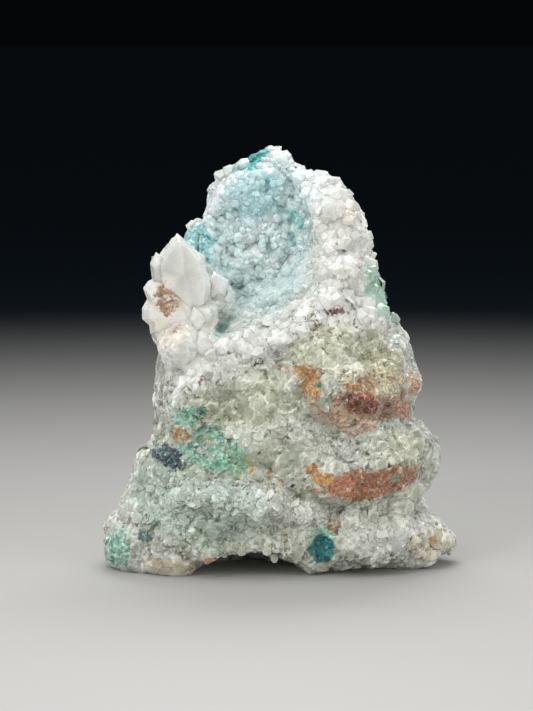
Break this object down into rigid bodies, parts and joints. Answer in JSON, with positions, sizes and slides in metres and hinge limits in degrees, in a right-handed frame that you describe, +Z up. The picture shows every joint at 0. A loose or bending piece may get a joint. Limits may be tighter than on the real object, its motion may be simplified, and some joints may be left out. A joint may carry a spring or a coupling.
{
  "type": "chrysocolla quartz specimen",
  "caption": "Upright wedge of granular quartz coloured by chrysocolla, with rust-stained ledges, milky crystals at one side and a hollow lined with a crust of blue quartz points.",
  "frame": {"origin": "on the resting plane, under the centre of the specimen's box", "axes": "+Z up, -Y towards the viewer of the hollow, +X to that viewer's right"},
  "size_m": [0.0562, 0.0389, 0.0662],
  "materials": {
    "milky_quartz": "granular translucent quartz, grey-green to white, stained rust brown and turquoise in patches",
    "blue_druse": "glassy translucent pale blue quartz points over chrysocolla"
  },
  "bodies": {
    "root": {"quartz_matrix": "milky_quartz", "druse_crust": "blue_druse"}
  },
  "joints": []
}
